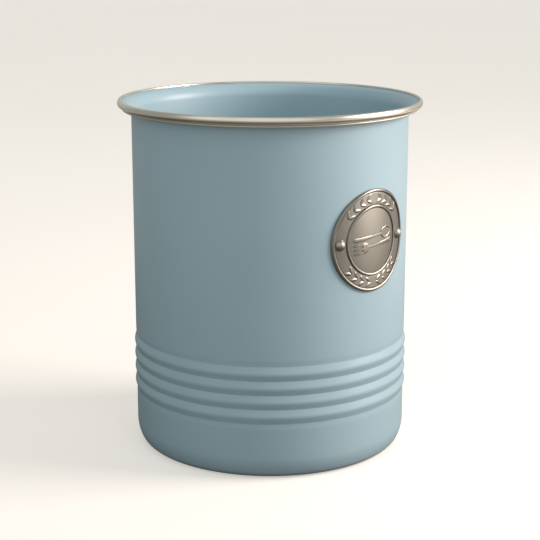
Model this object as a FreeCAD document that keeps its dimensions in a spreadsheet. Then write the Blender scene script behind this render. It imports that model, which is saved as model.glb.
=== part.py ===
"""Round utensil pot: a drawn steel can, a trim ring closed over its mouth, and a riveted badge.

Millimetres, +Z up. The origin is the middle of the base, on the surface the pot stands on,
and the badge faces -Y.
"""
import FreeCAD, Part
import math
import os
import re

import Sketcher

doc = FreeCAD.newDocument("utensil_holder")
sheet = doc.addObject("Spreadsheet::Sheet", "Sizes")

# Driving sizes, each with what it measures
DRIVING_SIZES = [
    ("overall_height", 174.0, "top of the trim ring above the base"),
    ("wall_radius", 68.25, "outside of the plain wall"),
    ("sheet_thickness", 0.8, "steel sheet with its coat on both sides"),
    ("heel_sweep_radius", 18.5, "long curve where the wall starts to turn in"),
    ("heel_sweep_angle", 25.0, "how far that curve turns"),
    ("heel_corner_radius", 5.8, "tight curve from there to the base"),
    ("foot_width", 6.3, "flat ring the can stands on"),
    ("base_recess", 2.0, "how far the middle of the base is pressed up"),
    ("base_step_angle", 45.0, "steepest slope of the pressed step"),
    ("flare_radius", 6.5, "inside face where the mouth turns outwards"),
    ("flare_depth", 0.85, "top of the ring above its inner edge, which rests on the flare"),
    ("flange_width", 0.15, "flat edge of the sheet beyond the flare"),
    ("rib_count", 4, "rolled ribs"),
    ("rib_pitch", 7.0, "from one rib to the next"),
    ("rib_gap", 0.2, "plain strip between two ribs"),
    ("rib_height", 0.6, "crest beyond the plain wall"),
    ("rib_crest_radius", 3.0, "rounding of the crest"),
    ("lowest_rib", 28.3, "lower edge of the lowest rib above the base"),
    ("ring_sheet", 0.5, "metal of the trim ring"),
    ("ring_height", 5.0, "trim ring from top to bottom"),
    ("ring_shoulder", 1.8, "from its top down to where it is widest"),
    ("ring_top_roll", 0.6, "outside radius of the roll on top"),
    ("ring_upper_curve", 2.3, "outside radius from there to the widest place"),
    ("ring_lower_curve", 2.0, "outside radius below the widest place"),
    ("ring_lower_turn", 80.0, "how far that curve turns under"),
    ("ring_lip_roll", 0.5, "outside radius of the hem along the lower edge"),
    ("ring_lip_turn", 60.0, "where the hem's curve leaves the underside"),
    ("ring_lip_inset", 2.65, "middle of the hem inside the widest place"),
    ("edge_clearance", 0.4, "between the sheet's edge and the ring's widest place"),
    ("seam_clearance", 0.05, "between the ring's lips and the flare"),
    ("seat_clearance", 0.05, "between pieces that bear on each other"),
    ("badge_height", 112.8, "middle of the badge above the base"),
    ("badge_radius", 24.5, "outer edge of the badge"),
    ("badge_thickness", 0.8, "plate between its beads"),
    ("inner_bead_radius", 17.1, "outer edge of the inner bead"),
    ("bead_width", 1.6, "both raised beads"),
    ("bead_rise", 0.55, "beads above the plate"),
    ("bead_rounding", 0.4, "rounding along the top of the beads"),
    ("dome_rise", 0.5, "crown of the centre above the plate"),
    ("relief_rise", 0.3, "ornament above the face it stands on"),
    ("leaf_length", 3.2, "one leaf of the two sprays"),
    ("leaf_width", 1.3, "across one leaf"),
    ("leaf_lean", 32.0, "angle between a leaf and its spray"),
    ("leaf_joint", 0.5, "from the foot of a pair to where its leaves part"),
    ("leaf_pairs", 5, "pairs of leaves in each half spray"),
    ("leaf_step", 10.5, "angle from one pair of leaves to the next"),
    ("spray_gap", 4.0, "angle from the middle to the first pair"),
    ("utensil_length", 26.0, "spoon and fork in relief"),
    ("utensil_spacing", 3.4, "between the spoon's and the fork's middle lines"),
    ("utensil_tilt", 5.0, "slope of both, up to the right"),
    ("handle_end_width", 1.6, "wide end of both handles"),
    ("handle_neck_width", 0.9, "narrow end of both handles"),
    ("bowl_length", 8.0, "spoon bowl"),
    ("bowl_width", 4.6, "across the spoon bowl"),
    ("fork_head_length", 8.0, "fork head with its tines"),
    ("fork_head_width", 4.2, "across the fork head"),
    ("tine_length", 4.8, "depth of the slots between the tines"),
    ("tine_gap", 0.5, "width of one slot"),
    ("tine_slots", 3, "slots between the tines"),
    ("rivet_offset", 20.2, "along the wall from the middle of the badge"),
    ("rivet_head_radius", 2.65, "domed head"),
    ("rivet_head_height", 1.9, "domed head"),
    ("rivet_shank_radius", 1.3, "shank"),
    ("rivet_tail_radius", 2.2, "tail set inside the can"),
    ("rivet_tail_height", 1.1, "tail set inside the can"),
    ("rivet_tail_rounding", 0.6, "edge of the tail"),
    ("hole_clearance", 0.1, "around the shank in plate, wall and washer"),
    ("washer_radius", 3.2, "washer under the tail"),
    ("washer_thickness", 0.6, "washer under the tail"),
]

# Sizes that follow from the driving ones
DERIVED_SIZES = [
    ("wall_inner_radius", "wall_radius - sheet_thickness"),
    ("heel_centre_radius", "wall_radius - heel_sweep_radius"),
    ("heel_height", "heel_sweep_radius * sin(heel_sweep_angle)"
                    " + heel_corner_radius * (1 - sin(heel_sweep_angle))"),
    ("heel_joint_radius", "heel_centre_radius + heel_sweep_radius * cos(heel_sweep_angle)"),
    ("heel_joint_height", "heel_corner_radius * (1 - sin(heel_sweep_angle))"),
    ("foot_outer_radius", "heel_joint_radius - heel_corner_radius * cos(heel_sweep_angle)"),
    ("foot_inner_radius", "foot_outer_radius - foot_width"),
    ("step_radius", "base_recess / 2 / (1 - cos(base_step_angle))"),
    ("step_under_low", "step_radius + sheet_thickness / 2"),
    ("step_under_high", "step_radius - sheet_thickness / 2"),
    ("step_joint_radius", "foot_inner_radius - step_under_low * sin(base_step_angle)"),
    ("step_joint_height", "step_under_low * (1 - cos(base_step_angle))"),
    ("panel_radius", "step_joint_radius - step_under_high * sin(base_step_angle)"),
    ("flare_under_radius", "flare_radius - sheet_thickness"),
    ("flare_centre_radius", "wall_radius + flare_under_radius"),
    ("flare_top", "overall_height - flare_depth - seam_clearance"),
    ("flare_centre_height", "flare_top - flare_radius"),
    ("flange_radius", "flare_centre_radius + flange_width"),
    ("rib_half_width", "(rib_pitch - rib_gap) / 2"),
    ("rib_flank_angle", "asin(rib_crest_radius / sqrt(rib_half_width ^ 2"
                        " + (rib_crest_radius - rib_height) ^ 2))"
                        " - atan((rib_crest_radius - rib_height) / rib_half_width)"),
    ("rib_crest_half", "rib_crest_radius * sin(rib_flank_angle)"),
    ("rib_shoulder", "rib_height - rib_crest_radius * (1 - cos(rib_flank_angle))"),
    ("rib_middle", "lowest_rib + rib_half_width"),
    ("ring_radius", "flange_radius + edge_clearance + ring_sheet"),
    ("ring_widest", "overall_height - ring_shoulder"),
    ("top_roll_height", "overall_height - ring_top_roll"),
    ("upper_centre", "ring_radius - ring_upper_curve"),
    ("upper_rise", "(ring_shoulder - ring_top_roll) / (ring_upper_curve - ring_top_roll)"),
    ("upper_reach", "sqrt(1 - upper_rise ^ 2)"),
    ("top_roll_centre", "upper_centre + (ring_upper_curve - ring_top_roll) * upper_reach"),
    ("upper_inside", "ring_upper_curve - ring_sheet"),
    ("lower_centre", "ring_radius - ring_lower_curve"),
    ("lower_inside", "ring_lower_curve - ring_sheet"),
    ("lip_centre", "ring_radius - ring_lip_inset"),
    ("lip_height", "overall_height - ring_height + ring_lip_roll"),
    ("lip_shoulder", "lip_height + ring_lip_roll * sin(ring_lip_turn)"),
    ("leg_outside", "lip_centre - ring_lip_roll"),
    ("leg_top", "flare_centre_height + sqrt(flare_under_radius ^ 2"
                " - (flare_centre_radius - leg_outside) ^ 2) - seam_clearance"),
    ("badge_back", "wall_radius + seat_clearance"),
    ("badge_face", "badge_back + badge_thickness"),
    ("bead_crest", "badge_face + bead_rise"),
    ("centre_radius", "inner_bead_radius - bead_width"),
    ("dome_crown", "badge_face + dome_rise"),
    ("dome_side_sag", "badge_face - sqrt(badge_face ^ 2 - centre_radius ^ 2) + dome_rise"),
    ("dome_side_radius", "(centre_radius ^ 2 + dome_side_sag ^ 2) / 2 / dome_side_sag"),
    ("dome_height_radius", "(centre_radius ^ 2 + dome_rise ^ 2) / 2 / dome_rise"),
    ("spray_radius", "(badge_radius - bead_width + inner_bead_radius) / 2"),
    ("leaf_tip_along", "leaf_length * cos(leaf_lean)"),
    ("leaf_tip_across", "leaf_length * sin(leaf_lean)"),
    ("leaf_back_along", "(leaf_tip_along - leaf_width * sin(leaf_lean)) / 2"),
    ("leaf_back_across", "(leaf_tip_across + leaf_width * cos(leaf_lean)) / 2"),
    ("leaf_front_along", "(leaf_tip_along + leaf_width * sin(leaf_lean)) / 2"),
    ("leaf_front_across", "(leaf_tip_across - leaf_width * cos(leaf_lean)) / 2"),
    ("leaf_root", "wall_radius - badge_radius / 3"),
    ("leaf_tip_angle", "atan(leaf_tip_along / spray_radius) / 1 deg"),
    ("spray_turn", "180 - 2 * spray_gap - (leaf_pairs - 1) * leaf_step - leaf_tip_angle"),
    ("utensil_line", "utensil_spacing / 2"),
    ("fork_neck", "utensil_length / 2 - fork_head_length"),
    ("fork_shoulder", "(fork_head_width - handle_neck_width) / 2"),
    ("tine_pitch", "(fork_head_width + tine_gap) / (tine_slots + 1)"),
    ("first_slot", "utensil_line - tine_pitch * (tine_slots - 1) / 2"),
    ("rivet_angle", "rivet_offset / wall_radius * 180 / pi"),
    ("hole_radius", "rivet_shank_radius + hole_clearance"),
    ("washer_seat", "sqrt(wall_inner_radius ^ 2 - washer_radius ^ 2) - seat_clearance"),
    ("washer_face", "washer_seat - washer_thickness"),
    ("tail_face", "washer_face - seat_clearance"),
    ("tail_end", "tail_face - rivet_tail_height"),
    ("head_seat", "badge_face + seat_clearance"),
    ("head_top", "head_seat + rivet_head_height"),
    ("head_curve", "(rivet_head_radius ^ 2 + rivet_head_height ^ 2) / 2 / rivet_head_height"),
]

for row, (alias, value, meaning) in enumerate(DRIVING_SIZES, start=1):
    sheet.set("A%d" % row, str(value))
    sheet.setAlias("A%d" % row, alias)
    sheet.set("B%d" % row, meaning)
for row, (alias, formula) in enumerate(DERIVED_SIZES, start=1):
    sheet.set("D%d" % row, "=" + formula)
    sheet.setAlias("D%d" % row, alias)
doc.recompute()

ALIASES = {entry[0] for entry in DRIVING_SIZES + DERIVED_SIZES}


def sized(formula):
    """The formula with each size's name pointing at the sheet."""
    return re.sub(r"[a-z_]+", lambda word: "Sizes." * (word.group() in ALIASES) + word.group(),
                  formula)


def value_of(formula):
    """The formula's value as the sheet stands."""
    return float(sheet.evalExpression(sized(formula)))


def origin_feature(body, role):
    return [feature for feature in body.Origin.OriginFeatures if feature.Role == role][0]


def new_sketch(body, name, plane):
    """An empty sketch on one of the body's own planes."""
    sketch = body.newObject("Sketcher::SketchObject", name)
    sketch.AttachmentSupport = [(origin_feature(body, plane), "")]
    sketch.MapMode = "FlatFace"
    return sketch


def hold(sketch, kind, geometry, end, formula):
    """Keep one coordinate of a corner at the formula's value."""
    value = value_of(formula)
    axis = {"DistanceX": -2, "DistanceY": -1}[kind]
    if abs(value) < 1e-9:
        sketch.addConstraint(Sketcher.Constraint("PointOnObject", geometry, end, axis))
        return
    if value > 0:
        index = sketch.addConstraint(Sketcher.Constraint(kind, -1, 1, geometry, end, value))
        sketch.setExpression("Constraints[%d]" % index, sized(formula))
        return
    index = sketch.addConstraint(Sketcher.Constraint(kind, geometry, end, -1, 1, -value))
    sketch.setExpression("Constraints[%d]" % index, sized("0 - (" + formula + ")"))


def arc_between(start, end, radius, turn):
    """The arc of under a half circle from start to end, turning left or right on the way."""
    chord = end - start
    middle = (start + end) * 0.5
    across = FreeCAD.Vector(-chord.y, chord.x, 0).normalize()
    reach = math.sqrt(max(radius ** 2 - (chord.Length / 2) ** 2, 0.0))
    side = 1 if turn == "left" else -1
    centre = middle + across * reach * side
    bulge = centre - across * radius * side
    return Part.Arc(start, bulge, end)


def outline(sketch, corners):
    """Close an outline through the corners.

    A corner is (x, y), reached by a straight side, or (x, y, radius, turn), reached by an arc.
    """
    points = [FreeCAD.Vector(value_of(c[0]), value_of(c[1]), 0) for c in corners]
    ends = []
    for index, corner in enumerate(corners):
        start, end = points[index - 1], points[index]
        if len(corner) == 2:
            sketch.addGeometry(Part.LineSegment(start, end), False)
            ends.append((1, 2))
            continue
        radius, turn = corner[2:]
        sketch.addGeometry(arc_between(start, end, value_of(radius), turn), False)
        ends.append((1, 2) if turn == "left" else (2, 1))
    for index, corner in enumerate(corners):
        following = (index + 1) % len(corners)
        join = (index, ends[index][1], following, ends[following][0])
        sketch.addConstraint(Sketcher.Constraint("Coincident", *join))
        hold(sketch, "DistanceX", index, ends[index][1], corner[0])
        hold(sketch, "DistanceY", index, ends[index][1], corner[1])
        if len(corner) == 4:
            number = sketch.addConstraint(
                Sketcher.Constraint("Radius", index, value_of(corner[2])))
            sketch.setExpression("Constraints[%d]" % number, sized(corner[2]))


def circle(sketch, x, y, radius):
    sketch.addGeometry(Part.Circle(FreeCAD.Vector(value_of(x), value_of(y), 0),
                                   FreeCAD.Vector(0, 0, 1), value_of(radius)), False)
    hold(sketch, "DistanceX", 0, 3, x)
    hold(sketch, "DistanceY", 0, 3, y)
    number = sketch.addConstraint(Sketcher.Constraint("Radius", 0, value_of(radius)))
    sketch.setExpression("Constraints[%d]" % number, sized(radius))


def turned(body, name, plane, corners, kind="PartDesign::Revolution"):
    """Turn an outline about the upright axis of its sketch, to add or to cut."""
    sketch = new_sketch(body, name + "_outline", plane)
    outline(sketch, corners)
    feature = body.newObject(kind, name)
    feature.Profile = sketch
    feature.ReferenceAxis = (sketch, ["V_Axis"])
    feature.Angle = 360
    doc.recompute()
    return feature


def new_body(name):
    body = doc.addObject("PartDesign::Body", name)
    body.Label = name
    return body


# Can body: one drawn steel can with a recessed base, rolled ribs and a flared mouth
can = new_body("can_body")
turned(can, "drawn_can", "XZ_Plane", [
    ("0", "base_recess"),
    ("panel_radius", "base_recess"),
    ("step_joint_radius", "step_joint_height", "step_under_high", "right"),
    ("foot_inner_radius", "0", "step_under_low", "left"),
    ("foot_outer_radius", "0"),
    ("heel_joint_radius", "heel_joint_height", "heel_corner_radius", "left"),
    ("wall_radius", "heel_height", "heel_sweep_radius", "left"),
    ("wall_radius", "flare_centre_height"),
    ("flare_centre_radius", "flare_centre_height + flare_under_radius",
     "flare_under_radius", "right"),
    ("flange_radius", "flare_centre_height + flare_under_radius"),
    ("flange_radius", "flare_top"),
    ("flare_centre_radius", "flare_top"),
    ("wall_inner_radius", "flare_centre_height", "flare_radius", "left"),
    ("wall_inner_radius", "heel_height"),
    ("heel_joint_radius - sheet_thickness * cos(heel_sweep_angle)",
     "heel_joint_height + sheet_thickness * sin(heel_sweep_angle)",
     "heel_sweep_radius - sheet_thickness", "right"),
    ("foot_outer_radius", "sheet_thickness", "heel_corner_radius - sheet_thickness", "right"),
    ("foot_inner_radius", "sheet_thickness"),
    ("step_joint_radius + sheet_thickness * sin(base_step_angle)",
     "step_joint_height + sheet_thickness * cos(base_step_angle)",
     "step_under_low - sheet_thickness", "right"),
    ("panel_radius", "base_recess + sheet_thickness",
     "step_under_high + sheet_thickness", "left"),
    ("0", "base_recess + sheet_thickness"),
])

# Each rib is pushed out from the inside, so the sheet stays as thick there as in the wall
rib = turned(can, "rib", "XZ_Plane", [
    ("wall_inner_radius + sheet_thickness / 2", "rib_middle - rib_half_width"),
    ("wall_radius", "rib_middle - rib_half_width"),
    ("wall_radius + rib_shoulder", "rib_middle - rib_crest_half"),
    ("wall_radius + rib_shoulder", "rib_middle + rib_crest_half", "rib_crest_radius", "left"),
    ("wall_radius", "rib_middle + rib_half_width"),
    ("wall_inner_radius + sheet_thickness / 2", "rib_middle + rib_half_width"),
])
rib_hollow = turned(can, "rib_hollow", "XZ_Plane", [
    ("wall_inner_radius - sheet_thickness / 2", "rib_middle - rib_half_width"),
    ("wall_inner_radius", "rib_middle - rib_half_width"),
    ("wall_inner_radius + rib_shoulder", "rib_middle - rib_crest_half"),
    ("wall_inner_radius + rib_shoulder", "rib_middle + rib_crest_half",
     "rib_crest_radius", "left"),
    ("wall_inner_radius", "rib_middle + rib_half_width"),
    ("wall_inner_radius - sheet_thickness / 2", "rib_middle + rib_half_width"),
], kind="PartDesign::Groove")
ribs = can.newObject("PartDesign::LinearPattern", "ribs")
ribs.Originals = [rib, rib_hollow]
ribs.Direction = (origin_feature(can, "Z_Axis"), [""])
ribs.Mode = "Spacing"
ribs.setExpression("Offset", sized("rib_pitch"))
ribs.setExpression("Occurrences", sized("rib_count"))
can.Tip = ribs
doc.recompute()

# Rivet holes: punched square to the wall, one each side of the badge's middle
SIDES = {"left": "0 - rivet_angle", "right": "rivet_angle"}
for side, turn in SIDES.items():
    sketch = new_sketch(can, "hole_outline_" + side, "XZ_Plane")
    sketch.AttachmentOffset = FreeCAD.Placement(
        FreeCAD.Vector(), FreeCAD.Rotation(FreeCAD.Vector(0, 1, 0), value_of(turn)))
    sketch.setExpression("AttachmentOffset.Rotation.Angle", sized(turn))
    circle(sketch, "0", "badge_height", "hole_radius")
    solid_before = can.Shape.Volume
    hole = can.newObject("PartDesign::Pocket", "hole_" + side)
    hole.Profile = sketch
    hole.Reversed = True
    hole.setExpression("Length", sized("wall_radius + sheet_thickness"))
    doc.recompute()
    if not can.Shape.Volume < solid_before:
        raise RuntimeError("the rivet hole on the " + side + " cuts nothing")

# Trim ring: bare sheet rolled over the flare's edge. Its inner edge rests on the flare, and
# below the bead a narrow hem turns back up to the flare's underside
ring = new_body("rim_ring")
turned(ring, "rolled_trim", "XZ_Plane", [
    ("top_roll_centre - ring_top_roll + ring_sheet", "flare_top + seam_clearance"),
    ("top_roll_centre - ring_top_roll + ring_sheet", "top_roll_height"),
    ("upper_centre + upper_inside * upper_reach", "ring_widest + upper_inside * upper_rise",
     "ring_top_roll - ring_sheet", "right"),
    ("ring_radius - ring_sheet", "ring_widest", "upper_inside", "right"),
    ("lower_centre + lower_inside * cos(ring_lower_turn)",
     "ring_widest - lower_inside * sin(ring_lower_turn)", "lower_inside", "right"),
    ("lip_centre", "lip_shoulder + ring_sheet"),
    ("lip_centre", "leg_top"),
    ("leg_outside", "leg_top"),
    ("leg_outside", "lip_height"),
    ("lip_centre", "lip_height - ring_lip_roll", "ring_lip_roll", "left"),
    ("lip_centre + ring_lip_roll * cos(ring_lip_turn)", "lip_shoulder",
     "ring_lip_roll", "left"),
    ("lower_centre + ring_lower_curve * cos(ring_lower_turn)",
     "ring_widest - ring_lower_curve * sin(ring_lower_turn)"),
    ("ring_radius", "ring_widest", "ring_lower_curve", "left"),
    ("upper_centre + ring_upper_curve * upper_reach",
     "ring_widest + ring_upper_curve * upper_rise", "ring_upper_curve", "left"),
    ("top_roll_centre - ring_top_roll", "top_roll_height", "ring_top_roll", "left"),
    ("top_roll_centre - ring_top_roll", "flare_top + seam_clearance"),
])


# Badge plate: cast, curved to the wall, built about the middle of the badge and facing -Y
def post(name, radius):
    """A round bar from the pot's axis out through the badge."""
    bar = doc.addObject("Part::Cylinder", name)
    bar.setExpression("Radius", sized(radius))
    bar.setExpression("Height", sized("bead_crest * 1.2"))
    bar.Placement = FreeCAD.Placement(FreeCAD.Vector(), FreeCAD.Rotation(FreeCAD.Vector(1, 0, 0), 90))
    return bar


def drum(name, radius):
    """An upright cylinder about the pot's axis, taller than the badge."""
    cylinder = doc.addObject("Part::Cylinder", name)
    cylinder.setExpression("Radius", sized(radius))
    cylinder.setExpression("Height", sized("badge_radius * 3"))
    cylinder.setExpression("Placement.Base.z", sized("badge_radius * -1.5"))
    return cylinder


def joined(kind, name, base, tool):
    result = doc.addObject(kind, name)
    result.Base = base
    result.Tool = tool
    doc.recompute()
    return result


def bead(name, outer_radius):
    """A raised ring that follows the curve of the plate, with its two top edges rounded."""
    tube = joined("Part::Cut", name + "_tube", post(name + "_outside", outer_radius),
                  post(name + "_inside", outer_radius + " - bead_width"))
    square = joined("Part::Common", name + "_square", tube, drum(name + "_crest", "bead_crest"))
    crest = value_of("bead_crest")
    rounding = value_of("bead_rounding")
    top_edges = [
        (number, rounding, rounding) for number, edge in enumerate(square.Shape.Edges, start=1)
        if all(abs(math.hypot(point.x, point.y) - crest) < 1e-4
               for point in edge.discretize(9))
    ]
    rounded = doc.addObject("Part::Fillet", name)
    rounded.Base = square
    rounded.Edges = top_edges
    doc.recompute()
    return rounded


def crowned(name, rise):
    """The crowned face of the centre, raised: a barrel, wider in height than across."""
    barrel = doc.addObject("Part::Torus", name)
    barrel.setExpression("Radius1", sized("dome_height_radius - dome_side_radius"))
    barrel.setExpression("Radius2", sized("dome_side_radius + " + rise))
    barrel.Placement = FreeCAD.Placement(FreeCAD.Vector(), FreeCAD.Rotation(FreeCAD.Vector(0, 1, 0), 90))
    barrel.setExpression("Placement.Base.y", sized("dome_height_radius - dome_crown"))
    return barrel


plate_disc = joined("Part::Common", "plate_disc", post("plate_edge", "badge_radius"),
                    drum("plate_face", "badge_face"))
outer_bead = bead("outer_bead", "badge_radius")
inner_bead = bead("inner_bead", "inner_bead_radius")
centre_dome = joined("Part::Common", "centre_dome",
                     post("dome_edge", "centre_radius + bead_width / 2"), crowned("dome_face", "0"))

# Spoon and fork in relief: side by side and head to tail across the crowned centre. Each is
# drawn with its head to the right, and the fork is then turned half a turn
cutlery = new_body("cutlery_bars")
cutlery.AllowCompound = True
SPOON_SLOPE = "utensil_tilt"
FORK_SLOPE = "180 + utensil_tilt"


def bar(name, draw, slope, kind="PartDesign::Pad"):
    """A bar from the pot's axis out through the badge, or a slot along one."""
    sketch = new_sketch(cutlery, name + "_outline", "XZ_Plane")
    sketch.AttachmentOffset = FreeCAD.Placement(
        FreeCAD.Vector(), FreeCAD.Rotation(FreeCAD.Vector(0, 0, 1), value_of(slope)))
    sketch.setExpression("AttachmentOffset.Rotation.Angle", sized(slope))
    draw(sketch)
    feature = cutlery.newObject(kind, name)
    feature.Profile = sketch
    feature.Reversed = kind == "PartDesign::Pocket"
    feature.setExpression("Length", sized("bead_crest * 1.2"))
    doc.recompute()
    return feature


def handle(head_length):
    """A handle that tapers from its rounded end and runs a little way into the head."""
    end = "handle_end_width / 2"
    neck = "handle_neck_width / 2"
    root = "utensil_length / 2 + handle_neck_width - " + head_length
    return lambda sketch: outline(sketch, [
        ("handle_end_width / 2 - utensil_length / 2", "utensil_line + " + end),
        ("0 - utensil_length / 2", "utensil_line", end, "left"),
        ("handle_end_width / 2 - utensil_length / 2", "utensil_line - " + end, end, "left"),
        (root, "utensil_line - " + neck),
        (root, "utensil_line + " + neck),
    ])


def spoon_bowl(sketch):
    """An oval bowl."""
    middle = FreeCAD.Vector(value_of("(utensil_length - bowl_length) / 2"),
                            value_of("utensil_line"), 0)
    oval = Part.Ellipse(middle, value_of("bowl_length / 2"), value_of("bowl_width / 2"))
    sketch.addGeometry(oval, False)
    sketch.exposeInternalGeometry(0)
    hold(sketch, "DistanceX", 0, 3, "(utensil_length - bowl_length) / 2")
    hold(sketch, "DistanceY", 0, 3, "utensil_line")
    sketch.addConstraint(Sketcher.Constraint("Horizontal", 1))
    for line, length in ((1, "bowl_length"), (2, "bowl_width")):
        number = sketch.addConstraint(Sketcher.Constraint("Distance", line, value_of(length)))
        sketch.setExpression("Constraints[%d]" % number, sized(length))


def fork_head(sketch):
    """A head with rounded shoulders, before its slots are cut."""
    neck = "handle_neck_width / 2"
    half = "fork_head_width / 2"
    outline(sketch, [
        ("fork_neck", "utensil_line + " + neck, "fork_shoulder", "left"),
        ("fork_neck", "utensil_line - " + neck),
        ("fork_neck + fork_shoulder", "utensil_line - " + half, "fork_shoulder", "left"),
        ("utensil_length / 2", "utensil_line - " + half),
        ("utensil_length / 2", "utensil_line + " + half),
        ("fork_neck + fork_shoulder", "utensil_line + " + half),
    ])


def tine_slot(sketch):
    """The first slot between two tines, open at the fork's end."""
    root, mouth = "utensil_length / 2 - tine_length", "utensil_length / 2 + tine_gap"
    low, high = "first_slot - tine_gap / 2", "first_slot + tine_gap / 2"
    outline(sketch, [(root, low), (mouth, low), (mouth, high), (root, high)])


bar("spoon_handle", handle("bowl_length"), SPOON_SLOPE)
bar("spoon_bowl", spoon_bowl, SPOON_SLOPE)
bar("fork_handle", handle("fork_head_length"), FORK_SLOPE)
bar("fork_head", fork_head, FORK_SLOPE)
slot = bar("tine_slot", tine_slot, FORK_SLOPE, kind="PartDesign::Pocket")
slots = cutlery.newObject("PartDesign::LinearPattern", "tine_slots")
slots.Originals = [slot]
slots.Direction = (slot.Profile[0], ["V_Axis"])
slots.Mode = "Spacing"
slots.setExpression("Offset", sized("tine_pitch"))
slots.setExpression("Occurrences", sized("tine_slots"))
cutlery.Tip = slots
doc.recompute()
cutlery_relief = joined("Part::Common", "cutlery_relief", cutlery,
                        crowned("cutlery_face", "relief_rise"))


# Leaf sprays: pairs of leaves growing up both sides of the band, with gaps at the rivets.
# The outline repeats by both turning and mirroring, so its bars are laid out one by one
def leaf_pair(turn):
    """A bar with the outline of one pair: a leaf leans out, and its twin in, from one foot."""
    one_leaf = [(value_of("leaf_" + corner + "_along"), value_of("leaf_" + corner + "_across"))
                for corner in ("back", "tip", "front")]
    corners = [(0, 0)] + [(along, -across) for along, across in one_leaf]
    corners += [(value_of("leaf_joint"), 0)] + one_leaf[::-1]
    points = [FreeCAD.Vector(along, -value_of("leaf_root"), across - value_of("spray_radius"))
              for along, across in corners]
    pair = Part.Face(Part.makePolygon(points + points[:1]))
    pair = pair.extrude(FreeCAD.Vector(0, value_of("leaf_root - bead_crest"), 0))
    return pair.rotated(FreeCAD.Vector(), FreeCAD.Vector(0, -1, 0), turn)


right_half = [leaf_pair(value_of("spray_gap + leaf_step * %d" % step) + half_turn)
              for half_turn in (0, value_of("spray_turn"))
              for step in range(round(value_of("leaf_pairs")))]
left_half = [pair.mirror(FreeCAD.Vector(), FreeCAD.Vector(1, 0, 0)) for pair in right_half]
leaf_face = drum("leaf_face", "badge_face + relief_rise")


def rivet_hole(side):
    """A round bar square to the wall where a rivet passes."""
    hole_bar = post("plate_hole_" + side, "hole_radius")
    upright = FreeCAD.Rotation(FreeCAD.Vector(0, 0, 1), value_of(SIDES[side]))
    hole_bar.Placement.Rotation = upright.multiply(hole_bar.Placement.Rotation)
    return hole_bar


plate = plate_disc
for raised in (outer_bead, inner_bead, centre_dome, cutlery_relief):
    plate = joined("Part::Fuse", "plate_with_" + raised.Name, plate, raised)
behind = doc.addObject("Part::MultiFuse", "behind_badge")
behind.Shapes = [drum("plate_back", "badge_back"), rivet_hole("left"), rivet_hole("right")]
doc.recompute()
leaves = Part.makeCompound(right_half + left_half).common(leaf_face.Shape)
badge = doc.addObject("Part::Feature", "badge_plate")
badge.Shape = plate.Shape.fuse(leaves.Solids).cut(behind.Shape).Solids[0]
badge.setExpression("Placement.Base.z", sized("badge_height"))


# Rivets and their washers: turned pieces, each drawn with its axis along +Y, then swung
# round to its hole in the front of the wall
def swung(body, turn):
    body.setExpression("Placement.Rotation.Angle", sized("180 + " + turn))
    body.setExpression("Placement.Base.z", sized("badge_height"))


for side, turn in SIDES.items():
    rivet = new_body("badge_rivet_" + side)
    turned(rivet, "rivet_" + side, "XY_Plane", [
        ("0", "tail_end"),
        ("rivet_tail_radius - rivet_tail_rounding", "tail_end"),
        ("rivet_tail_radius", "tail_end + rivet_tail_rounding", "rivet_tail_rounding", "left"),
        ("rivet_tail_radius", "tail_face"),
        ("rivet_shank_radius", "tail_face"),
        ("rivet_shank_radius", "head_seat"),
        ("rivet_head_radius", "head_seat"),
        ("0", "head_top", "head_curve", "left"),
    ])
    swung(rivet, turn)
    washer = new_body("rivet_washer_" + side)
    turned(washer, "washer_" + side, "XY_Plane", [
        ("hole_radius", "washer_face"),
        ("washer_radius", "washer_face"),
        ("washer_radius", "washer_seat"),
        ("hole_radius", "washer_seat"),
    ])
    swung(washer, turn)
doc.recompute()

# The finished pieces: nothing is written unless every one of them is sound
NODES = ["can_body", "rim_ring", "badge_plate", "badge_rivet_left", "badge_rivet_right",
         "rivet_washer_left", "rivet_washer_right"]
for piece in doc.Objects:
    if "Invalid" in piece.State or "Error" in piece.State:
        raise RuntimeError(piece.Name + " did not build")
for node in NODES:
    shape = doc.getObject(node).Shape
    if shape.isNull() or not shape.isValid() or len(shape.Solids) != 1:
        raise RuntimeError(node + " is not one sound solid")
    print(node, "volume", round(shape.Volume, 1), "faces", len(shape.Faces))

os.makedirs("parts", exist_ok=True)
for node in NODES:
    doc.getObject(node).Shape.exportStep("parts/" + node + ".step")
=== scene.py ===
"""A round utensil pot: coated steel can, trim ring and riveted badge, on a plain studio floor."""

import math

import bpy
from mathutils import Matrix, Vector


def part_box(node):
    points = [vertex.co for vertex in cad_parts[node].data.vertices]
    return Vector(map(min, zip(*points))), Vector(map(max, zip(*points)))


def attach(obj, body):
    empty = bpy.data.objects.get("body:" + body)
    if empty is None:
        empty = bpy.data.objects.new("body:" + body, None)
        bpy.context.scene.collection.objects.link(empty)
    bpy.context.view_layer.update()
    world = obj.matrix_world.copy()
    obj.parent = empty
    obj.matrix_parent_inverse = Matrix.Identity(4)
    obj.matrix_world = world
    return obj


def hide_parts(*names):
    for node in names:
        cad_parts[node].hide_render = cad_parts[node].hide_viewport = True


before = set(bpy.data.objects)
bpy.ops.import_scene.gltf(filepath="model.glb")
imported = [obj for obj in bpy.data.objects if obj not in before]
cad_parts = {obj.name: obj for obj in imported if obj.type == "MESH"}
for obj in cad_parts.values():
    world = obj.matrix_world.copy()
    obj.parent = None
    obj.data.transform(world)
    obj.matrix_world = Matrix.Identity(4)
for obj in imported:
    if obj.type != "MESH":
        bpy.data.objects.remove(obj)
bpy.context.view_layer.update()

# Coated steel can: drawn from one disc of sheet, so wall and base have no seam. The base is
# pressed up inside a ring that stands on the worktop, four ribs are rolled low in the wall,
# the mouth is flared, and the whole can is powder coated a pale sky blue inside and out.
MM = 0.001
AROUND = 256
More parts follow.
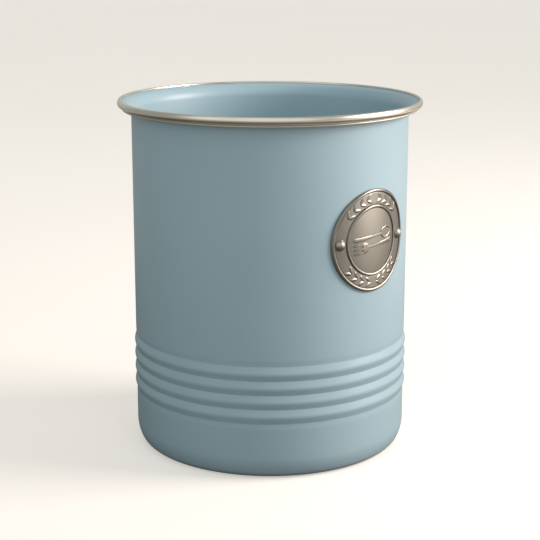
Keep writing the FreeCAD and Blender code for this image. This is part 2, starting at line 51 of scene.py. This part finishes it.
SHARP_FROM = math.radians(38)

wall_radius = 68.25 * MM
sheet = 0.8 * MM
sweep_radius, sweep_turn = 18.5 * MM, 25.0
corner_radius = 5.8 * MM
foot_width = 6.3 * MM
recess, step_slope = 2.0 * MM, 45.0
flare_radius = 6.5 * MM
flange_rounding = 0.1 * MM
rib_count, rib_pitch, lowest_crease = 4, 7.0 * MM, 28.2 * MM
rib_height, crease_depth, crest_share = 0.72 * MM, 0.2 * MM, 0.47
crest_rounding, crease_rounding, crease_ramp = 0.6 * MM, 0.08 * MM, 3.2 * MM
rib_steps, ramp_steps = 18, 8
panel_stretch, foot_stretch, wall_stretch = 4 * MM, 1 * MM, 5 * MM
can_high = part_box("can_body")[1]
flange_radius, can_top = can_high.x, can_high.z


def arc(centre, radius, start, end, steps):
    """Points on an arc in the (radius, height) plane, angles in degrees from straight out."""
    angles = [math.radians(start + (end - start) * k / steps) for k in range(steps + 1)]
    return [(centre[0] + radius * math.cos(a), centre[1] + radius * math.sin(a)) for a in angles]


def run(start, end, stretch):
    """Points along a straight line, about one stretch apart, without its ends."""
    count = max(1, round(math.dist(start, end) / stretch))
    return [tuple(a + (b - a) * k / count for a, b in zip(start, end)) for k in range(1, count)]


def piece(name, vertices, faces):
    """A smooth object of the pot, with its real edges left sharp."""
    mesh = bpy.data.meshes.new(name)
    mesh.from_pydata([tuple(vertex) for vertex in vertices], [], faces)
    mesh.validate()
    mesh.shade_smooth()
    mesh.set_sharp_from_angle(angle=SHARP_FROM)
    made = bpy.data.objects.new(name, mesh)
    bpy.context.scene.collection.objects.link(made)
    return made


def turned(name, profile, around=AROUND, closed=False):
    """Turn a profile of (radius, height) points about the upright axis into a closed mesh."""
    vertices, rings = [], []
    for radius, height in profile:
        if radius == 0:
            rings.append([len(vertices)] * around)
            vertices.append((0, 0, height))
            continue
        rings.append(range(len(vertices), len(vertices) + around))
        vertices += [(radius * math.cos(math.tau * k / around),
                      radius * math.sin(math.tau * k / around), height) for k in range(around)]
    pairs = list(zip(rings, rings[1:])) + ([(rings[-1], rings[0])] if closed else [])
    faces = []
    for lower, upper in pairs:
        for k in range(around):
            corners = (lower[k], lower[k - 1], upper[k - 1], upper[k])
            faces.append(tuple(dict.fromkeys(corners)))
    return piece(name, vertices, faces)


def rolled_ribs():
    """The ribs as (how far the sheet is pushed out, height). Each crest lies a little below the
    middle of its rib, and the creases are pressed slightly deeper than the wall."""
    apex = rib_height + crease_depth + crest_rounding / 4
    highest_crease = lowest_crease + rib_count * rib_pitch
    edge = crease_rounding / rib_pitch

    def rib(share):
        """Two slopes up from the creases, which meet in a rounded crest."""
        under, over = apex * share / crest_share, apex * (1 - share) / (1 - crest_share)
        near = max(0.0, 1 - abs(under - over) / crest_rounding)
        return min(under, over) - crest_rounding * near ** 2 / 4 - crease_depth

    def ramp(share):
        """A smooth rise from the outermost crease back to the plain wall."""
        return -crease_depth * (1 - share * share * (3 - 2 * share))

    rib_shares = [edge] + [k / rib_steps for k in range(1, rib_steps)] + [1 - edge]
    ramp_shares = [edge] + [k / ramp_steps for k in range(1, ramp_steps + 1)]
    below = [(ramp(share), lowest_crease - share * crease_ramp) for share in ramp_shares[::-1]]
    ribs = [(rib(share), lowest_crease + (k + share) * rib_pitch)
            for k in range(rib_count) for share in rib_shares]
    above = [(ramp(share), highest_crease + share * crease_ramp) for share in ramp_shares]
    return below + ribs + above


def can_profile():
    """Up the outside from the middle of the base, over the flange, and down the inside."""
    sweep, slope = math.radians(sweep_turn), math.radians(step_slope)
    sweep_centre = wall_radius - sweep_radius
    heel_top = sweep_radius * math.sin(sweep) + corner_radius * (1 - math.sin(sweep))
    joint_radius = sweep_centre + sweep_radius * math.cos(sweep)
    foot_outer = joint_radius - corner_radius * math.cos(sweep)
    foot_inner = foot_outer - foot_width
    step_radius = recess / 2 / (1 - math.cos(slope))
    low_arc, high_arc = step_radius + sheet / 2, step_radius - sheet / 2
    panel = foot_inner - (low_arc + high_arc) * math.sin(slope)
    flare_centre = (wall_radius + flare_radius - sheet, can_top - flare_radius)
    ribs = rolled_ribs()
    ribs_low, ribs_high = ribs[0][1], ribs[-1][1]

    def side(inset):
        """One face of the sheet, from the middle of the base up to the flange."""
        face = wall_radius - inset
        panel_face = recess + inset
        points = [(0, panel_face)] + run((0, panel_face), (panel, panel_face), panel_stretch)
        points += arc((panel, recess - high_arc), high_arc + inset, 90, 90 - step_slope, 8)
        points += arc((foot_inner, low_arc), low_arc - inset, 270 - step_slope, 270, 8)[1:]
        points += run((foot_inner, inset), (foot_outer, inset), foot_stretch)
        points += arc((foot_outer, corner_radius), corner_radius - inset, 270, 360 - sweep_turn, 12)
        points += arc((sweep_centre, heel_top), sweep_radius - inset, 360 - sweep_turn, 360, 10)[1:]
        points += run((face, heel_top), (face, ribs_low), wall_stretch)
        points += [(face + swell, height) for swell, height in ribs]
        points += run((face, ribs_high), (face, flare_centre[1]), wall_stretch)
        return points + arc(flare_centre, flare_radius - sheet + inset, 180, 90, 14)

    flange_low, rounded = can_top - sheet, flange_radius - flange_rounding
    flange = [(rounded, flange_low), (flange_radius, flange_low + flange_rounding),
              (flange_radius, can_top - flange_rounding), (rounded, can_top)]
    return side(0) + flange + side(sheet)[::-1]


class Shade:
    """A socket in a material's nodes. Arithmetic on it adds Math nodes, add() any other."""

    def __init__(self, tree, socket):
        self.tree = tree
        self.socket = socket

    def add(self, kind, settings=None, inputs=None, output=0):
        """A new node with its settings made first, then its inputs set or linked."""
        node = self.tree.nodes.new(kind)
        for name, value in (settings or {}).items():
            setattr(node, name, value)
        for name, value in (inputs or {}).items():
            if isinstance(value, Shade):
                self.tree.links.new(value.socket, node.inputs[name])
            else:
                node.inputs[name].default_value = value
        return Shade(self.tree, node.outputs[output])

    def math(self, operation, other=0.0):
        """A Math node on this value and another."""
        return self.add("ShaderNodeMath", {"operation": operation}, {0: self, 1: other})

    def __add__(self, other):
        return self.math("ADD", other)

    def __sub__(self, other):
        return self.math("SUBTRACT", other)

    def __rsub__(self, other):
        return self.add("ShaderNodeMath", {"operation": "SUBTRACT"}, {0: other, 1: self})

    def __mul__(self, other):
        return self.math("MULTIPLY", other)

    __radd__ = __add__
    __rmul__ = __mul__

    def step(self, low, high):
        """0 below low, 1 above high, and smooth between."""
        return self.add("ShaderNodeMapRange", {"interpolation_type": "SMOOTHSTEP"},
                        {"Value": self, "From Min": low, "From Max": high})

    def blend(self, first, second):
        """The first colour where this is 0 and the second where it is 1."""
        return self.add("ShaderNodeMix", {"data_type": "RGBA"},
                        {"Factor": self, "A": first, "B": second}, output=2)


def finish(name, **fixed):
    """A material, its Principled shader with these sockets fixed, and its place coordinate."""
    material = bpy.data.materials.new(name)
    material.use_nodes = True
    tree = material.node_tree
    shader = tree.nodes["Principled BSDF"]
    for socket, value in fixed.items():
        shader.inputs[socket.replace("_", " ")].default_value = value
    place = Shade(tree, tree.nodes.new("ShaderNodeTexCoord").outputs["Object"])
    return material, shader, place


def feed(shader, socket, shade):
    """Link what changes over the surface to a socket of the shader."""
    shade.tree.links.new(shade.socket, shader.inputs[socket])


def noise(place, scale, detail):
    """Cloudy noise from 0 to 1, with its scale in clouds per metre."""
    return place.add("ShaderNodeTexNoise",
                     inputs={"Vector": place, "Scale": scale, "Detail": detail})


def bump(height, strength, distance):
    """Normals that follow a fine height."""
    return height.add("ShaderNodeBump",
                      inputs={"Strength": strength, "Distance": distance, "Height": height})


def powder_coat():
    """Satin sky blue with the faint orange peel of a baked powder."""
    material, shader, place = finish("sky_blue_powder_coat", IOR=1.5, Coat_Weight=0.15,
                                     Coat_Roughness=0.3)
    blue, deep_blue = (0.375, 0.515, 0.563, 1), (0.362, 0.502, 0.550, 1)
    cloud = noise(place, scale=18, detail=3)
    peel = noise(place, scale=900, detail=2)
    fine = noise(place, scale=2600, detail=1)
    feed(shader, "Base Color", cloud.step(0.35, 0.65).blend(blue, deep_blue))
    feed(shader, "Roughness", 0.40 + cloud * 0.03 + peel * 0.04)
    feed(shader, "Normal", bump(peel + fine * 0.3, strength=0.10, distance=0.06 * MM))
    return material


can = turned("can", can_profile())
can.data.materials.append(powder_coat())
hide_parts("can_body")
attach(can, "root")

# Trim ring: a strip of thin stainless steel, rolled over the edge of the flare into a round
# bead, so that the mouth is smooth to the hand. Below the bead a narrow hem runs round, and
# from there the strip turns back up to the flare's underside. It is polished and left bare.
ring_low, ring_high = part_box("rim_ring")
ring_radius = ring_high.x
ring_sheet = 0.5 * MM
shoulder = 1.8 * MM
top_roll, upper_curve, lower_curve, lower_turn = 0.6 * MM, 2.3 * MM, 2.0 * MM, 80.0
lip_roll, lip_turn, lip_inset = 0.5 * MM, 60.0, 2.65 * MM
seam = 0.05 * MM
hem_fade = 0.3 * MM


def ring_profile():
    """The rolled section: round the outside of the strip to its hem, then back inside."""
    widest = ring_high.z - shoulder
    top_lean = math.asin((shoulder - top_roll) / (upper_curve - top_roll))
    top_turn = math.degrees(top_lean)
    upper = (ring_radius - upper_curve, widest)
    top = (upper[0] + (upper_curve - top_roll) * math.cos(top_lean), ring_high.z - top_roll)
    lower = (ring_radius - lower_curve, widest)
    lip = (ring_radius - lip_inset, ring_low.z + lip_roll)
    lip_end = lip[1] + lip_roll * math.sin(math.radians(lip_turn))
    under_flare = flare_radius - sheet
    leg = lip[0] - lip_roll
    leg_top = (can_top - flare_radius - seam
               + math.sqrt(under_flare ** 2 - (wall_radius + under_flare - leg) ** 2))

    def bead(inset):
        """One face of the strip, from the seam on the flare round to the hem."""
        points = [(top[0] - top_roll + inset, can_top + seam)]
        points += arc(top, top_roll - inset, 180, top_turn, 14)
        points += arc(upper, upper_curve - inset, top_turn, 0, 14)[1:]
        return points + arc(lower, lower_curve - inset, 0, -lower_turn, 22)[1:]

    hem = arc(lip, lip_roll, lip_turn, -180, 24)
    hem += [(leg, leg_top), (lip[0], leg_top), (lip[0], lip_end + ring_sheet)]
    return bead(0) + hem + bead(ring_sheet)[::-1]


def polished_steel():
    """Bare steel strip, polished along its length and slightly warm. The hem, where the polishing
    wheel does not reach, is rougher, and its darker colour is painted shade under the bead."""
    material, shader, place = finish("polished_trim_steel", Metallic=1.0)
    bright, dull, hem_dull_and_shaded = (0.85, 0.78, 0.65, 1), (0.77, 0.705, 0.585, 1), (0.66, 0.62, 0.54, 1)
    height = place.add("ShaderNodeSeparateXYZ", inputs={0: place}, output=2)
    lines = height.add("ShaderNodeTexNoise", {"noise_dimensions": "1D"},
                       {"W": height, "Scale": 9000, "Detail": 2})
    haze = noise(place, scale=60, detail=3)
    hem_top = ring_low.z + lip_roll * 2
    on_hem = 1 - height.step(hem_top, hem_top + hem_fade)
    # The hem's darker colour is painted shade under the bead; its added roughness is the unpolished hem.
    feed(shader, "Base Color", on_hem.blend(haze.step(0.3, 0.7).blend(bright, dull), hem_dull_and_shaded))
    feed(shader, "Roughness", 0.25 + haze * 0.05 + lines * 0.04 + on_hem * 0.22)
    return material


ring = turned("trim_ring", ring_profile(), closed=True)
ring.data.materials.append(polished_steel())
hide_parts("rim_ring")
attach(ring, "root")

# Badge plate: a small round casting, curved to the wall, with a raised bead round its edge
# and another round its crowned middle. Its surface is satin pewter, with painted shade
# darkening it where the beads meet the plate.
BADGE_AROUND = 288
seat_clearance = 0.05 * MM
badge_low, badge_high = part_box("badge_plate")
badge_middle = (badge_low.z + badge_high.z) / 2
badge_radius = (badge_high.x - badge_low.x) / 2
badge_thickness = 0.8 * MM
badge_back = wall_radius + seat_clearance
badge_face = badge_back + badge_thickness
inner_bead, bead_width, bead_rise = 17.1 * MM, 1.6 * MM, 0.55 * MM
bead_steps, bead_edge, side_step = 14, bead_rise * 0.35, 0.2 * MM
groove_width, groove_depth, groove_shade = 0.12 * MM, 0.06 * MM, 0.45 * MM
dome_rise, relief_rise = 0.5 * MM, 0.35 * MM
centre_radius = inner_bead - bead_width
outer_bead = badge_radius - bead_width
crown_steps, band_steps = 22, 12


def on_drum(x, z, radius):
    """A point of an upright cylinder about the pot, in front of (x, z) on the badge."""
    return Vector((x, -math.sqrt(radius ** 2 - x ** 2), badge_middle + z))


def on_crown(x, z, rise=0.0):
    """A point of the badge's crowned middle, or above it."""
    crown = badge_face + dome_rise
    sag = badge_face - math.sqrt(badge_face ** 2 - centre_radius ** 2) + dome_rise
    side_curve = (centre_radius ** 2 + sag ** 2) / 2 / sag
    height_curve = (centre_radius ** 2 + dome_rise ** 2) / 2 / dome_rise
    from_axis = height_curve - side_curve + math.sqrt((side_curve + rise) ** 2 - x ** 2)
    return Vector((x, height_curve - crown - math.sqrt(from_axis ** 2 - z ** 2), badge_middle + z))


def badge_rings():
    """(radius, height above the plate) across the face from the crowned middle to the edge. A
    fine groove runs beside each bead, in the band between them."""
    def bead(inner):
        """One raised bead with a broad round top."""
        half = bead_width / 2
        across = [math.cos(math.pi * k / bead_steps) for k in range(bead_steps + 1)]
        return [(inner + half - half * c, bead_rise * (1 - abs(c) ** 2.2) ** 0.7) for c in across]

    band = [(inner_bead, -groove_depth), (inner_bead + groove_width, 0.0)]
    band += [(inner_bead + (outer_bead - inner_bead) * k / band_steps, 0.0) for k in range(1, band_steps)]
    band += [(outer_bead - groove_width, 0.0), (outer_bead, -groove_depth)]
    return bead(centre_radius)[:-1] + band + bead(outer_bead)[1:-1]


def badge_mesh():
    """The plate as one closed mesh: crowned middle, beads and band, edge and curved back."""
    vertices, rings = [on_crown(0, 0)], []

    def ring_of(radius, place, *more):
        """A ring of points about the badge's middle, which place puts on one of its faces."""
        rings.append(range(len(vertices), len(vertices) + BADGE_AROUND))
        for k in range(BADGE_AROUND):
            turn = math.tau * k / BADGE_AROUND
            vertices.append(place(radius * math.cos(turn), radius * math.sin(turn), *more))

    for k in range(1, crown_steps):
        ring_of(centre_radius * k / crown_steps, on_crown)
    for radius, rise in badge_rings():
        ring_of(radius, on_drum, badge_face + rise)
    for drum_radius in (badge_face + bead_edge, badge_face - side_step, badge_back):
        ring_of(badge_radius, on_drum, drum_radius)
    for share in (0.75, 0.5, 0.25):
        ring_of(badge_radius * share, on_drum, badge_back)
    vertices.append(on_drum(0, 0, badge_back))
    first, last = 0, len(vertices) - 1
    faces = [(first, rings[0][k], rings[0][k - 1]) for k in range(BADGE_AROUND)]
    for inner, outer in zip(rings, rings[1:]):
        faces += [(inner[k - 1], inner[k], outer[k], outer[k - 1]) for k in range(BADGE_AROUND)]
    faces += [(rings[-1][k - 1], rings[-1][k], last) for k in range(BADGE_AROUND)]
    return piece("badge", vertices, faces)


def pewter():
    """Cast metal with a satin pewter finish, and painted shade darkening the grooves beside the beads."""
    material, shader, place = finish("satin_pewter", Metallic=1.0, Anisotropic=0.5,
                                     Anisotropic_Rotation=0.25)
    bright, painted_shade_colour = (0.295, 0.279, 0.240, 1), (0.125, 0.111, 0.095, 1)
    from_middle = place.add("ShaderNodeVectorMath", {"operation": "SUBTRACT"},
                            {0: place, 1: (0, 0, badge_middle)})
    flat = from_middle.add("ShaderNodeVectorMath", {"operation": "MULTIPLY"},
                           {0: from_middle, 1: (1, 0, 1)})
    radius = flat.add("ShaderNodeVectorMath", {"operation": "LENGTH"}, {0: flat}, output=1)
    # Painted shade: a darker band of colour about each groove, where shade falls.
    painted_groove_shade = sum(1 - (radius - groove).math("ABSOLUTE").step(0.0, groove_shade)
                  for groove in (centre_radius, inner_bead, outer_bead))
    grain = noise(place, scale=1500, detail=3)
    haze = noise(place, scale=220, detail=2)
    feed(shader, "Base Color", (painted_groove_shade * 0.75).math("MINIMUM", 1.0).blend(bright, painted_shade_colour))
    feed(shader, "Roughness", 0.33 + haze * 0.05 + grain * 0.04)
    feed(shader, "Normal", bump(grain, strength=0.12, distance=0.04 * MM))
    return material


badge_metal = pewter()
badge = badge_mesh()
badge.data.materials.append(badge_metal)
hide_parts("badge_plate")
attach(badge, "root")

# Leaf sprays: cast with the plate, in the band between its beads. Pairs of pointed leaves with
# a ridge in the middle grow up both sides, stop short of the rivets, and go on to the top.
leaf_length, leaf_width, leaf_rise, leaf_lean = 4.2 * MM, 1.8 * MM, 0.27 * MM, 34.0
leaf_pairs, leaf_pitch, leaf_stalk, spray_gap = 4, 13.0, 0.1 * MM, 5.0
spray_radius = (outer_bead + inner_bead) / 2
sunk = 0.15 * MM


def rotated(x, z, degrees):
    """A point of the badge's face, turned about the face's middle."""
    angle = math.radians(degrees)
    return x * math.cos(angle) - z * math.sin(angle), x * math.sin(angle) + z * math.cos(angle)


def blade(across_steps, along_steps, outline, lift, place):
    """A low cast form as a closed mesh. Outline gives its half width, and lift its height, at
    shares of its length and of its half width; place puts both on the badge."""
    width, end = across_steps + 1, along_steps * (across_steps + 1)
    grid = [(k / along_steps, j / across_steps * 2 - 1)
            for k in range(along_steps + 1) for j in range(width)]
    vertices = [place(share, t * outline(share), lift(share, t)) for share, t in grid]
    vertices += [place(share, t * outline(share), -sunk) for share, t in grid]
    under = len(grid)
    faces = []
    for corner in (k * width + j for k in range(along_steps) for j in range(across_steps)):
        top = (corner, corner + 1, corner + width + 1, corner + width)
        faces += [top, tuple(under + index for index in top[::-1])]
    border = [*range(across_steps), *range(across_steps, end, width),
              *range(end + across_steps, end, -1), *range(end, 0, -width)]
    faces += [(a, under + a, under + b, b) for a, b in zip(border, border[1:] + border[:1])]
    return vertices, faces


def gathered(name, parts):
    """Several closed meshes as one piece."""
    vertices, faces = [], []
    for part_vertices, part_faces in parts:
        faces += [tuple(corner + len(vertices) for corner in face) for face in part_faces]
        vertices += part_vertices
    return piece(name, vertices, faces)


def leaf(turn, side, mirror):
    """One leaf of a pair, with a ridge along its middle, turned up from the band's lowest point."""
    def place(share, across, height):
        x, z = rotated(leaf_stalk + share * leaf_length, across, leaf_lean * side)
        x, z = rotated(x, z - spray_radius, turn)
        return on_drum(mirror * x, z, badge_face + height)

    def outline(share):
        """Widest a little before the middle, and pointed at both ends."""
        return leaf_width / 2 * max(0.03, math.sin(math.pi * share ** 0.85)) ** 0.8

    def lift(share, t):
        """Highest along the middle, and sloping down to the plate at the stalk and the tip."""
        return leaf_rise * (1 - abs(t) ** 1.3) * min(1.0, 6 * share, 4 * (1 - share))

    return blade(10, 14, outline, lift, place)


leaf_reach = math.degrees(math.atan(leaf_length * math.cos(math.radians(leaf_lean)) / spray_radius))
upper_spray = 180 - 2 * spray_gap - (leaf_pairs - 1) * leaf_pitch - leaf_reach
leaf_turns = [spray_gap + leaf_pitch * k + start for start in (0, upper_spray) for k in range(leaf_pairs)]
leaves = gathered("badge_leaves", [leaf(turn, side, mirror) for turn in leaf_turns
                                   for side in (1, -1) for mirror in (1, -1)])
leaves.data.materials.append(badge_metal)
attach(leaves, "root")

# Spoon and fork: cast on the crowned middle of the badge, side by side and head to tail, both
# sloping up to the right. The spoon's bowl is dished, and the fork has three tines.
utensil_length, utensil_spacing, utensil_tilt = 26.0 * MM, 4.6 * MM, 5.0
handle_end, handle_neck, handle_level = 1.15 * MM, 0.6 * MM, 0.85
bowl_length, bowl_half = 8.8 * MM, 2.9 * MM
rim_place, rim_spread, dish_level = 0.88, 0.11, 0.25
head_length, head_half, head_overlap = 8.8 * MM, 2.5 * MM, 0.1 * MM
tine_count, tine_length, tine_gap, tine_overlap = 3, 5.2 * MM, 0.85 * MM, 0.4 * MM
tip_stretch = 1.6
least_half = 0.02 * MM


def along_line(start, end, offset, slope):
    """Place for a form that runs from start to end beside the middle line of the badge."""
    def place(share, across, height):
        x, z = rotated(start + (end - start) * share, offset + across, slope)
        return on_crown(x, z, height)
    return place


def round_end(share):
    """Half width of a quarter of a circle or oval, from 0 at its tip to 1 where it is full."""
    return math.sqrt(1 - (1 - min(1.0, share)) ** 2)


def level(share, t):
    """Nearly level across, with rounded sides."""
    return relief_rise * handle_level * (1 - abs(t) ** 4) ** 0.5


def handle(head, slope):
    """A handle with a round end, tapering into its head."""
    length = utensil_length - head + handle_neck * 2

    def outline(share):
        taper = handle_end + (handle_neck - handle_end) * share
        return max(least_half, taper * round_end(share * length / handle_end))

    start = -utensil_length / 2
    return blade(8, 60, outline, level, along_line(start, start + length, utensil_spacing / 2, slope))


def bowl(slope):
    """An oval bowl with a raised rim round its dished middle."""
    def oval(share):
        return math.sqrt(max(0.0, 1 - (share * 2 - 1) ** 2))

    def outline(share):
        return max(least_half, bowl_half * oval(share))

    def lift(share, t):
        out = min(1.0, math.hypot(share * 2 - 1, t * oval(share)))
        rim = math.exp(-((out - rim_place) / rim_spread) ** 2)
        edge = (1 - out ** 8) ** 0.5
        return relief_rise * (dish_level + (1 - dish_level) * rim) * edge

    end = utensil_length / 2
    return blade(28, 48, outline, lift, along_line(end - bowl_length, end, utensil_spacing / 2, slope))


def fork_head(slope):
    """The head behind the tines, and the tines with rounded tips."""
    end = utensil_length / 2
    tine_start = end - tine_length
    head_root, head_shoulder = head_length - tine_length, head_half - handle_neck
    tine_half = (2 * head_half - (tine_count - 1) * tine_gap) / tine_count / 2

    def head_outline(share):
        return handle_neck + head_shoulder * round_end(share * head_root / head_shoulder)

    def tine_outline(share):
        tip = (1 - share) * tine_length / tine_half / tip_stretch
        return max(least_half, tine_half * round_end(tip))

    place = along_line(end - head_length, tine_start + head_overlap, utensil_spacing / 2, slope)
    parts = [blade(20, 24, head_outline, level, place)]
    for k in range(tine_count):
        middle = -head_half + tine_half + k * (2 * tine_half + tine_gap)
        place = along_line(tine_start - tine_overlap, end, utensil_spacing / 2 + middle, slope)
        parts.append(blade(6, 40, tine_outline, level, place))
    return parts


spoon = gathered("badge_spoon", [handle(bowl_length, utensil_tilt), bowl(utensil_tilt)])
fork = gathered("badge_fork", [handle(head_length, 180 + utensil_tilt), *fork_head(180 + utensil_tilt)])
for relief in (spoon, fork):
    relief.data.materials.append(badge_metal)
    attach(relief, "root")

# Rivets: two soft metal rivets with polished domed heads hold the badge through the wall. Each
# tail is set flat inside the can, over a plain washer.
RIVET_AROUND = 64
sides = {"left": -1, "right": 1}
rivet_offset, head_radius, head_height = 20.2 * MM, 2.65 * MM, 1.9 * MM
head_inset, head_band, head_band_turn = 0.1 * MM, 0.08 * MM, 4.0
shank_radius, tail_radius, tail_height, tail_rounding = 1.3 * MM, 2.2 * MM, 1.1 * MM, 0.6 * MM
washer_radius, washer_thickness, hole_radius = 3.2 * MM, 0.6 * MM, 1.4 * MM
washer_seat = math.sqrt((wall_radius - sheet) ** 2 - washer_radius ** 2) - seat_clearance
washer_face = washer_seat - washer_thickness
head_seat = badge_face + seat_clearance


def swung_out(made, side):
    """Turn a piece from upright to square with the wall, through the badge's hole."""
    lying = Matrix.Rotation(math.pi / 2, 4, "X")
    swing = Matrix.Rotation(side * rivet_offset / wall_radius, 4, "Z")
    made.data.transform(Matrix.Translation((0, 0, badge_middle)) @ swing @ lying)
    return made


def rivet_profile():
    """From the middle of the tail, inside the can, to the top of the domed head."""
    tail_face = washer_face - seat_clearance
    tail_end = tail_face - tail_height
    head_top = head_seat + head_height
    curve = (head_radius ** 2 + head_height ** 2) / 2 / head_height
    dome_start = math.degrees(math.asin((curve - head_height) / curve)) + head_band_turn
    points = [(0, tail_end)]
    points += arc((tail_radius - tail_rounding, tail_end + tail_rounding), tail_rounding, 270, 360, 8)
    points += [(tail_radius, tail_face), (shank_radius, tail_face), (shank_radius, head_seat)]
    points += [(head_radius - head_inset, head_seat), (head_radius, head_seat + head_band)]
    return points + arc((0, head_top - curve), curve, dome_start, 90, 20)[:-1] + [(0, head_top)]


def rivet_steel():
    """Soft steel, polished by the setting tool."""
    material, shader, place = finish("polished_rivet", Metallic=1.0)
    bright, dull = (0.43, 0.395, 0.34, 1), (0.36, 0.33, 0.285, 1)
    haze = noise(place, scale=700, detail=3)
    feed(shader, "Base Color", haze.step(0.3, 0.7).blend(bright, dull))
    feed(shader, "Roughness", 0.38 + haze * 0.08)
    return material


rivet_metal = rivet_steel()
for word, side in sides.items():
    rivet = swung_out(turned("rivet_" + word, rivet_profile(), RIVET_AROUND), side)
    rivet.data.materials.append(rivet_metal)
    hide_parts("badge_rivet_" + word)
    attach(rivet, "root")

# Washers: flat stamped steel rings between the tails and the thin wall, with the edges that
# the punch has rounded towards the tail.
punched_edge = 0.12 * MM


def washer_profile():
    """Up the hole from the wall's side, across the face under the tail, and down the rim."""
    edge = washer_face + punched_edge
    return [(hole_radius, washer_seat), (hole_radius, edge), (hole_radius + punched_edge, washer_face),
            (washer_radius - punched_edge, washer_face), (washer_radius, edge),
            (washer_radius, washer_seat)]


def stamped_steel():
    """Plain steel sheet, as stamped."""
    material, shader, place = finish("stamped_steel", Metallic=1.0)
    bright, dull = (0.56, 0.56, 0.56, 1), (0.46, 0.46, 0.46, 1)
    haze = noise(place, scale=500, detail=4)
    feed(shader, "Base Color", haze.step(0.3, 0.7).blend(bright, dull))
    feed(shader, "Roughness", 0.3 + haze * 0.12)
    return material


washer_metal = stamped_steel()
for word, side in sides.items():
    washer = swung_out(turned("washer_" + word, washer_profile(), RIVET_AROUND, closed=True), side)
    washer.data.materials.append(washer_metal)
    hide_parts("rivet_washer_" + word)
    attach(washer, "root")

# Studio: a plain pale floor that throws less light back close to the pot, one large soft light
# from the right, two wide lights for the room in front and behind, and the camera at the
# photograph's viewing angle.
floor_half = 6.0
dim_to, pale_from = 0.30, 0.55
view_turn, view_tilt = math.radians(44.94), math.radians(13.8)
view_distance, view_height, lens_length = 0.6975, 0.2577, 94.37
view_out = Vector((-math.sin(view_turn), -math.cos(view_turn), 0))
view_right = Vector((math.cos(view_turn), -math.sin(view_turn), 0))
window_distance, window_aim = 1.0, 0.11
room_spread = math.radians(100)


def pale_floor():
    """To the camera, a pale floor with a faint glow. To the light, a plain floor that throws less
    of it back close to the pot."""
    material, shader, place = finish("pale_floor", Roughness=0.9, Emission_Strength=0.43,
                                     Emission_Color=(1.0, 0.945, 0.875, 1))
    cream, pale = (0.71, 0.665, 0.61, 1), (0.73, 0.685, 0.63, 1)
    dim_bounce, pale_bounce = (0.14, 0.12, 0.10, 1), (0.62, 0.60, 0.57, 1)
    feed(shader, "Base Color", noise(place, scale=3, detail=2).step(0.2, 0.8).blend(cream, pale))
    reach = place.add("ShaderNodeVectorMath", {"operation": "LENGTH"}, {0: place}, output=1)
    bounce = place.add("ShaderNodeBsdfPrincipled", inputs={
        "Base Color": reach.step(dim_to, pale_from).blend(dim_bounce, pale_bounce), "Roughness": 0.9})
    to_camera = place.add("ShaderNodeLightPath")
    surface = place.add("ShaderNodeMixShader", inputs={
        0: to_camera, 1: bounce, 2: Shade(place.tree, shader.outputs["BSDF"])})
    place.tree.links.new(surface.socket, place.tree.nodes["Material Output"].inputs["Surface"])
    return material


def lamp(kind, name, turn, height, colour, **settings):
    """A light aimed at the pot, turned from the camera's side towards its right, and its way."""
    light = bpy.data.lights.new(name, kind)
    light.color = colour
    for setting, value in settings.items():
        setattr(light, setting, value)
    made = bpy.data.objects.new(name, light)
    bpy.context.scene.collection.objects.link(made)
    turn, height = math.radians(turn), math.radians(height)
    way = (view_out * math.cos(turn) + view_right * math.sin(turn)) * math.cos(height)
    way += Vector((0, 0, math.sin(height)))
    made.rotation_euler = way.to_track_quat("Z", "Y").to_euler()
    return made, way


floor_mesh = bpy.data.meshes.new("floor")
floor_mesh.from_pydata([(-floor_half, -floor_half, 0), (floor_half, -floor_half, 0),
                        (floor_half, floor_half, 0), (-floor_half, floor_half, 0)], [], [(0, 1, 2, 3)])
floor = bpy.data.objects.new("floor", floor_mesh)
bpy.context.scene.collection.objects.link(floor)
floor.data.materials.append(pale_floor())

window, window_way = lamp("AREA", "window", turn=87, height=22, colour=(1.0, 0.90, 0.87),
                          shape="SQUARE", size=0.52, energy=11.9)
window.location = window_way * window_distance + Vector((0, 0, window_aim))
lamp("SUN", "room_in_front", turn=-15, height=25, colour=(0.98, 1.01, 1.04),
     angle=room_spread, energy=0.95)
lamp("SUN", "room_behind", turn=180, height=25, colour=(1.12, 0.99, 0.83),
     angle=room_spread, energy=0.33)

world = bpy.data.worlds.new("studio")
world.use_nodes = True
world_nodes = world.node_tree.nodes
world_nodes["Background"].inputs["Color"].default_value = (0.90, 1.0, 1.03, 1)
world_nodes["Background"].inputs["Strength"].default_value = 0.34
surround = Shade(world.node_tree, world_nodes["Background"].outputs["Background"])
backdrop = surround.add("ShaderNodeBackground", inputs={"Color": (0.80, 0.78, 0.735, 1), "Strength": 1.0})
walls = surround.add("ShaderNodeMixShader", inputs={
    0: surround.add("ShaderNodeLightPath"), 1: surround, 2: backdrop})
world.node_tree.links.new(walls.socket, world_nodes["World Output"].inputs["Surface"])
bpy.context.scene.world = world

camera_data = bpy.data.cameras.new("camera")
camera_data.lens, camera_data.sensor_width = lens_length, 36.0
camera = bpy.data.objects.new("camera", camera_data)
bpy.context.scene.collection.objects.link(camera)
camera.location = view_out * view_distance + Vector((0, 0, view_height))
looking = -view_out * math.cos(view_tilt) - Vector((0, 0, math.sin(view_tilt)))
camera.rotation_euler = looking.to_track_quat("-Z", "Y").to_euler()
bpy.context.scene.camera = camera
bpy.context.scene.view_settings.view_transform = "Standard"
